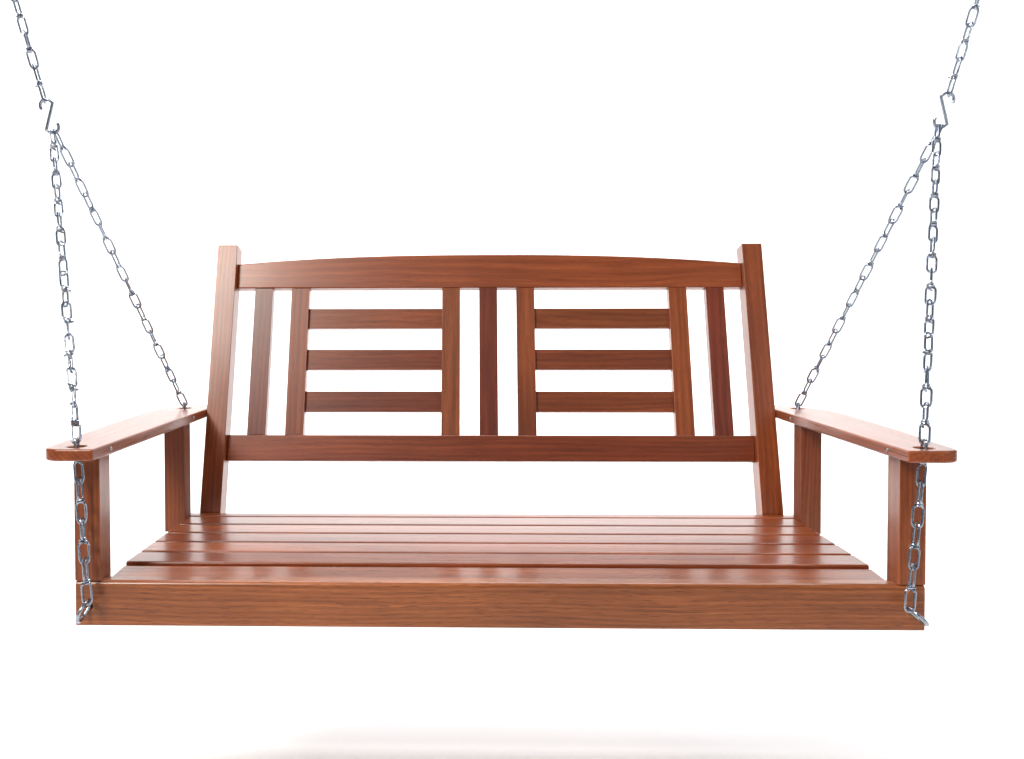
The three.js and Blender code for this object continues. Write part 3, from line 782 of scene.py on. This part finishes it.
for side, hand in ((-1, "right"), (1, "left")):
    yy = Vector((0, 1, 0))
    bearing = {}
    for place_name, face, dr, back, body_y in (("front", 0, -1, RAIL_T, 0), ("rear", REAR_RAIL_Y + RAIL_T, 1, REAR_RAIL_Y, 1)):
        lean = EYE_LEAN[f"{place_name}_{hand}"]
        e = Vector((side * math.sin(lean), 0, -math.cos(lean)))
        c = Vector((side * EYE_X[place_name], face + dr * EYE_OUT, EYE_Z))
        bearing[place_name] = c - e * EYE_R
        inward = -dr * yy                       # from the eye towards the rail
        shank_end = Vector((c.x, back - dr * 11, c.z))
        path = [shank_end, Vector((c.x, (shank_end.y + face) / 2, c.z)), Vector((c.x, face, c.z)),
                c + inward * (EYE_R + 2.6)]
        first = math.radians(24)
        for k in range(25):
            th = first + (math.radians(338) - first) * k / 24
            path.append(c + (inward * math.cos(th) + e * math.sin(th)) * EYE_R)
        v, f = sweep(spline(path, 2), EYE_WIRE / 2, 12)
        name = f"eye_bolt_{place_name}_{hand}"
        o = make(name + "_shown", v, f, mat=ZINC)
        place(o, "bench", "zinc", name)
        name = f"eye_nut_{place_name}_{hand}"
        ya, yb = sorted((back - dr * 0.3, back - dr * 5.3))
        hexa = [(c.x + 7 * math.cos(math.pi / 3 * k + math.pi / 6), c.z + 7 * math.sin(math.pi / 3 * k + math.pi / 6)) for k in range(6)]
        o = prism(name + "_shown", rounded(hexa, 0.8, 4), along_y, ya, yb, rim=0.7, rim_seg=2,
                  cutters=[cylinder((c.x, ya - 3, c.z), (c.x, yb + 3, c.z), EYE_WIRE / 2 + 0.25, 20)], mat=ZINC)
        place(o, "bench", "zinc", name)

    w = unturn((math.cos(SPLAY), 0, -side * math.sin(SPLAY)))
    J = Vector((side * JOIN.x, JOIN.y, JOIN.z))
    for place_name, hole, off in (("front", FRONT_HOLE, -2.6), ("rear", REAR_HOLE, 2.6)):
        top = J + w * off
        bend = Vector((side * hole[0], hole[1], BEND_Z))
        k0 = 0 if place_name == "front" else 5
        tw = TWISTS[place_name]
        parts = run(top, bend, ["EF"] * 10, w, -4.6, -0.6, k0, tw[:10])
        parts += run(bend, bearing[place_name], ["EF"] * 4, Vector((1, 0, 0)), 0.6, EYE_WIRE / 2 + 0.4, k0 + 10, tw[10:], slim=(0,))
        v, f = merged(parts)
        name = f"chain_{place_name}_{hand}"
        o = make(name + "_shown", v, f, mat=ZINC_CHAIN)
        place(o, "bench", "zinc", name)

# ------------------------------------------------------------------ overhead, in the row frame
for side, hand in ((-1, "right"), (1, "left")):
    u = Vector((side * math.sin(SPLAY), 0, math.cos(SPLAY)))
    w = Vector((math.cos(SPLAY), 0, -side * math.sin(SPLAY)))
    P = Vector((side * PX, 0, 0))
    J = P - u * DROP
    T = J + u * HOOK_LEN
    pts = []
    for k in range(11):
        th = math.radians(160 + 200 * k / 10)
        pts.append(J + w * (side * HOOK_R * math.cos(th)) + u * (HOOK_R + HOOK_R * math.sin(th)))
    for k in range(11):
        th = math.radians(180 - 200 * k / 10)
        pts.append(J + w * (side * HOOK_R * math.cos(th)) + u * (HOOK_LEN - HOOK_R + HOOK_R * math.sin(th)))
    v, f = sweep(spline(pts, 3), HOOK_WIRE / 2, 14)
    o = make(f"s_hook_{hand}_shown", v, f, to=same, mat=ZINC)
    place(o, f"{hand}_hanger", "zinc", f"s_hook_{hand}")

    v, f = merged(run(P, T, ["EF", "EF", "EF", "EE"], w, -5.9, 4.6, 3, (0, 9, -7, 0)))
    o = make(f"upper_chain_{hand}_shown", v, f, to=same, mat=ZINC_CHAIN)
    place(o, f"{hand}_hanger", "zinc", f"upper_chain_{hand}")

    # plate with a welded ring
    pw, pd, pt = PLATE
    x0, x1 = P.x - pw / 2, P.x + pw / 2
    holes = [cylinder((P.x + s * LAG_X, 0, PLATE_Z - 5), (P.x + s * LAG_X, 0, PLATE_Z + pt + 5), 3.6, 24, to=same) for s in (-1, 1)]
    o = prism(f"plate_{hand}_tmp", rounded(rect(x0, x1, -pd / 2, pd / 2), 8, 8), along_z, PLATE_Z, PLATE_Z + pt, rim=0.8,
              cutters=holes, to=same)
    circle = [Vector((P.x + CEIL_R * math.cos(2 * math.pi * k / 48), 0, CEIL_R + CEIL_R * math.sin(2 * math.pi * k / 48))) for k in range(48)]
    ring = sweep(circle, CEIL_WIRE / 2, 16, closed=True)
    neck = lathe("n", (P.x, 0, 2 * CEIL_R - 2), (P.x, 0, PLATE_Z + 1), [(0, 0), (0, 3), (1.5, 4.6), (6, 5.2), (8.5, 6.2), (10, 8.5), (11, 8.5), (11, 0)], 24)
    v, f = merged([ring, neck])
    r = make(f"ring_{hand}_tmp", v, f, to=same)
    bpy.context.view_layer.update()
    bm = bmesh.new()
    bm.from_mesh(o.data)
    bm.from_mesh(r.data)
    me = bpy.data.meshes.new(f"ceiling_plate_{hand}_shown")
    bm.to_mesh(me)
    bm.free()
    finish_mesh(me, 35)
    me.materials.append(STEEL)
    whole = bpy.data.objects.new(f"ceiling_plate_{hand}_shown", me)
    bpy.context.scene.collection.objects.link(whole)
    whole.modifiers.new("wn", "WEIGHTED_NORMAL").keep_sharp = True
    bpy.data.objects.remove(o)
    bpy.data.objects.remove(r)
    place(whole, "overhead", "steel", f"ceiling_plate_{hand}")

    for k, s in ((1, -1), (2, 1)):
        x = P.x + s * LAG_X
        hexa = [(x + 6.5 * math.cos(math.pi / 3 * j), 6.5 * math.sin(math.pi / 3 * j)) for j in range(6)]
        head = prism("head_tmp", rounded(hexa, 0.7, 4), along_z, PLATE_Z - 5.3, PLATE_Z - 0.3, rim=0.7, rim_seg=2, to=same)
        prof = [(0, 0), (0, 2.9), (14, 2.9)]
        z = 15.0
        while z < 47:
            prof += [(z, 2.2), (z + 1.0, 3.0), (z + 1.5, 2.2)]
            z += 2.4
        prof += [(49.5, 1.6), (52.0, 0.0)]
        v, f = lathe("s", (x, 0, PLATE_Z - 1), (x, 0, PLATE_Z + 60), prof, 24)
        shank = make("shank_tmp", v, f, to=same)
        bm = bmesh.new()
        bm.from_mesh(head.data)
        bm.from_mesh(shank.data)
        name = f"lag_screw_{hand}_{k}"
        me = bpy.data.meshes.new(name + "_shown")
        bm.to_mesh(me)
        bm.free()
        finish_mesh(me, 35)
        me.materials.append(STEEL)
        o = bpy.data.objects.new(name + "_shown", me)
        bpy.context.scene.collection.objects.link(o)
        o.modifiers.new("wn", "WEIGHTED_NORMAL").keep_sharp = True
        bpy.data.objects.remove(head)
        bpy.data.objects.remove(shank)
        place(o, "overhead", "steel", name)

# ------------------------------------------------------------------ studio
def plain(name, rgb, rough=0.9):
    m = Nodes(name)
    m.bsdf.inputs["Base Color"].default_value = (*rgb, 1)
    m.bsdf.inputs["Roughness"].default_value = rough
    m.bsdf.inputs["Specular IOR Level"].default_value = 0.1
    return m.mat


FLOOR_Z = -1.46
verts, faces = [], []
prof = [(-5.0, FLOOR_Z), (2.2, FLOOR_Z)]
for k in range(1, 13):
    th = math.pi / 2 * k / 12
    prof.append((2.2 + 1.6 * math.sin(th), FLOOR_Z + 1.6 - 1.6 * math.cos(th)))
prof.append((3.8, 4.0))
for x in (-6.0, 6.0):
    verts += [(x, y, z) for y, z in prof]
n = len(prof)
faces = [(i, i + 1, n + i + 1, n + i) for i in range(n - 1)]
me = bpy.data.meshes.new("studio_sweep")
me.from_pydata(verts, [], faces)
for p in me.polygons:
    p.use_smooth = True
sweep_obj = bpy.data.objects.new("studio_sweep", me)
me.materials.append(plain("studio_white", (0.90, 0.90, 0.90)))
bpy.context.scene.collection.objects.link(sweep_obj)

# pale surround for the sides the sweep does not reach; it adds no light to the object
pale = bpy.data.materials.new("studio_surround")
pale.use_nodes = True
pale.node_tree.nodes.clear()
glow = pale.node_tree.nodes.new("ShaderNodeEmission")
glow.inputs["Color"].default_value = (0.86, 0.87, 0.88, 1)
pale_out = pale.node_tree.nodes.new("ShaderNodeOutputMaterial")
pale.node_tree.links.new(glow.outputs[0], pale_out.inputs["Surface"])
bm = bmesh.new()
bmesh.ops.create_uvsphere(bm, u_segments=48, v_segments=24, radius=9.0)
me = bpy.data.meshes.new("studio_surround")
bm.to_mesh(me)
bm.free()
me.materials.append(pale)
surround = bpy.data.objects.new("studio_surround", me)
bpy.context.scene.collection.objects.link(surround)
for flag in ("visible_diffuse", "visible_glossy", "visible_transmission", "visible_shadow", "visible_volume_scatter"):
    setattr(surround, flag, False)


def area(name, loc, target, size, power, colour=(1, 1, 1), size_y=None):
    l = bpy.data.lights.new(name, "AREA")
    l.energy = power
    l.color = colour
    l.size = size
    if size_y:
        l.shape = "RECTANGLE"
        l.size_y = size_y
    o = bpy.data.objects.new(name, l)
    o.location = loc
    o.rotation_euler = (Vector(target) - Vector(loc)).to_track_quat("-Z", "Y").to_euler()
    bpy.context.scene.collection.objects.link(o)
    return o


area("key", (-2.3, -2.9, 2.3), (0, 0.1, -0.8), 1.5, 165, (1.0, 0.94, 0.86))
area("fill", (2.6, -2.0, 0.4), (0, 0.1, -0.8), 1.8, 16, (0.90, 0.95, 1.0))
area("top", (0.2, 1.2, 2.1), (0, 0.3, -0.9), 1.6, 20, (0.86, 0.92, 1.0))
area("back_wash", (0, 1.6, 2.6), (0, 4.6, -0.6), 5.0, 330, (1, 1, 1), 1.4)

world = bpy.data.worlds.new("studio")
world.use_nodes = True
bg = world.node_tree.nodes["Background"]
bg.inputs[0].default_value = (0.92, 0.96, 1.0, 1)
bg.inputs[1].default_value = 0.19
bpy.context.scene.world = world
bpy.context.scene.view_settings.view_transform = "Standard"

# ------------------------------------------------------------------ camera
psi, theta, rho = 0.02295, 0.02464, -0.00164
right = Vector((math.cos(psi), math.sin(psi), 0))
fwd = Vector((-math.cos(theta) * math.sin(psi), math.cos(theta) * math.cos(psi), -math.sin(theta)))
up = Vector((-math.sin(theta) * math.sin(psi), math.sin(theta) * math.cos(psi), math.cos(theta)))
right, up = right * math.cos(rho) + up * math.sin(rho), up * math.cos(rho) - right * math.sin(rho)
right, up, fwd = turn(right), turn(up), turn(fwd)
cd = bpy.data.cameras.new("camera")
cam = bpy.data.objects.new("camera", cd)
bpy.context.scene.collection.objects.link(cam)
loc = W((-35.50, -1336.89, 400.77)) * 0.001
cam.matrix_world = Matrix(((right.x, up.x, -fwd.x, loc.x), (right.y, up.y, -fwd.y, loc.y),
                           (right.z, up.z, -fwd.z, loc.z), (0, 0, 0, 1)))
cd.sensor_width = 36
cd.sensor_fit = "HORIZONTAL"
cd.lens = 36 * 900 / 1024
cd.shift_x = (512 - 451.0) / 1024
cd.shift_y = (337.05 - 379.5) / 1024
cd.clip_start = 0.05
bpy.context.scene.camera = cam
